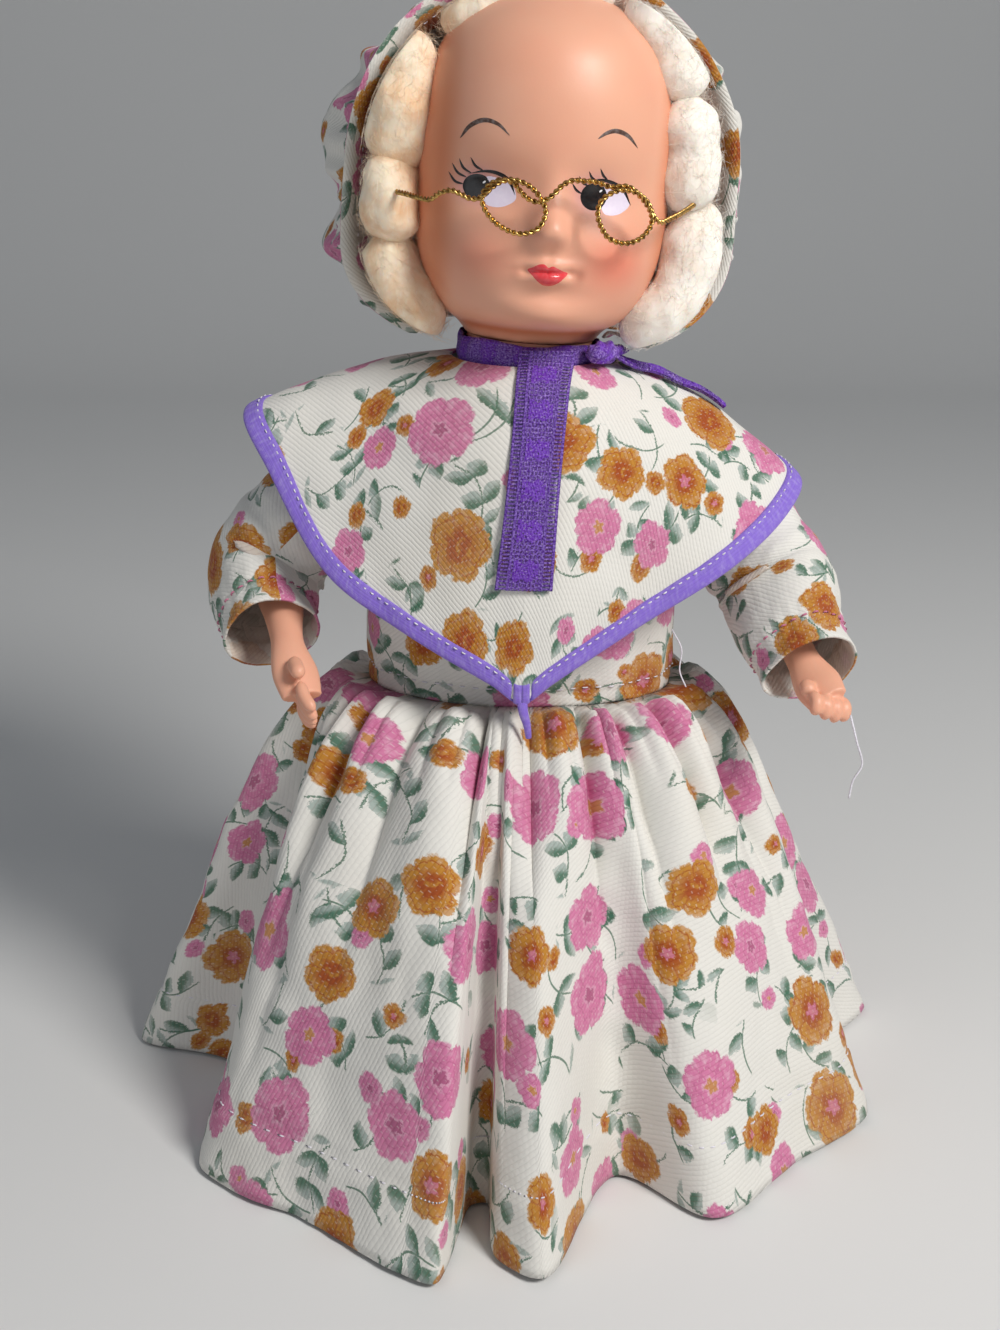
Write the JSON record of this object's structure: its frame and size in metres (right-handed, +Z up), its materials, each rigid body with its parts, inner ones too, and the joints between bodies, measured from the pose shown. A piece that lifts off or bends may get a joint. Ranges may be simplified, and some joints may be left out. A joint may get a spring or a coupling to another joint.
{
  "type": "grandma doll",
  "caption": "Standing grandmother doll with snap-jointed plastic body, floral dress, pointed cape collar, lace, wire spectacles and a puffed bonnet over cotton hair.",
  "frame": {"origin": "on the table, under the middle of the skirt's hem, at the centre of the bounding box's base", "axes": "+Z up, the doll faces -Y, +X to the doll's own left"},
  "size_m": [0.2239, 0.2359, 0.3095],
  "materials": {
    "skin_plastic": "satin moulded plastic in a peach flesh colour",
    "floral_cotton": "stiff plain-weave cotton with a pink and ochre floral print",
    "collar_tape": "lilac cotton tape, stitched in white",
    "lace": "purple net lace",
    "cotton_wool": "cream cotton wool",
    "gold_wire": "thin twisted gold-coloured wire"
  },
  "bodies": {
    "torso": {"torso": "skin_plastic", "bodice": "floral_cotton", "skirt": "floral_cotton", "cape_collar": "floral_cotton", "collar_binding": "collar_tape", "neck_lace": "lace", "lace_knot": "lace", "lace_tail": "lace", "lace_jabot": "lace"},
    "head": {"head": "skin_plastic", "bonnet_brim": "floral_cotton", "bonnet_crown": "floral_cotton", "spectacles": "gold_wire", "top_hair_roll": "cotton_wool", "right_upper_hair_roll": "cotton_wool", "right_middle_hair_roll": "cotton_wool", "right_lower_hair_roll": "cotton_wool", "left_upper_hair_roll": "cotton_wool", "left_middle_hair_roll": "cotton_wool", "left_lower_hair_roll": "cotton_wool"},
    "right_arm": {"right_arm": "skin_plastic", "right_sleeve": "floral_cotton"},
    "left_arm": {"left_arm": "skin_plastic", "left_sleeve": "floral_cotton"},
    "right_leg": {"right_leg": "skin_plastic"},
    "left_leg": {"left_leg": "skin_plastic"}
  },
  "joints": [
    {"name": "head_turn", "type": "hinge", "parent": "torso", "child": "head", "pos_m": [0.00429, 0, 0.20495], "axis": [0.0732, 0, 0.9973], "range_deg": [-45, 45]},
    {"name": "right_arm_swing", "type": "hinge", "parent": "torso", "child": "right_arm", "pos_m": [0.00375, 0, 0.17896], "axis": [-0.9998, 0, 0.0209], "range_deg": [-10, 70], "deforming": ["cape_collar", "collar_binding"]},
    {"name": "left_arm_swing", "type": "hinge", "parent": "torso", "child": "left_arm", "pos_m": [0.00375, 0, 0.17896], "axis": [-0.9998, 0, 0.0209], "range_deg": [-10, 70], "deforming": ["cape_collar", "collar_binding"]},
    {"name": "right_leg_swing", "type": "hinge", "parent": "torso", "child": "right_leg", "pos_m": [0.00193, 0, 0.09198], "axis": [-0.9998, 0, 0.0209], "range_deg": [-28, 28]},
    {"name": "left_leg_swing", "type": "hinge", "parent": "torso", "child": "left_leg", "pos_m": [0.00193, 0, 0.09198], "axis": [-0.9998, 0, 0.0209], "range_deg": [-28, 28]}
  ]
}
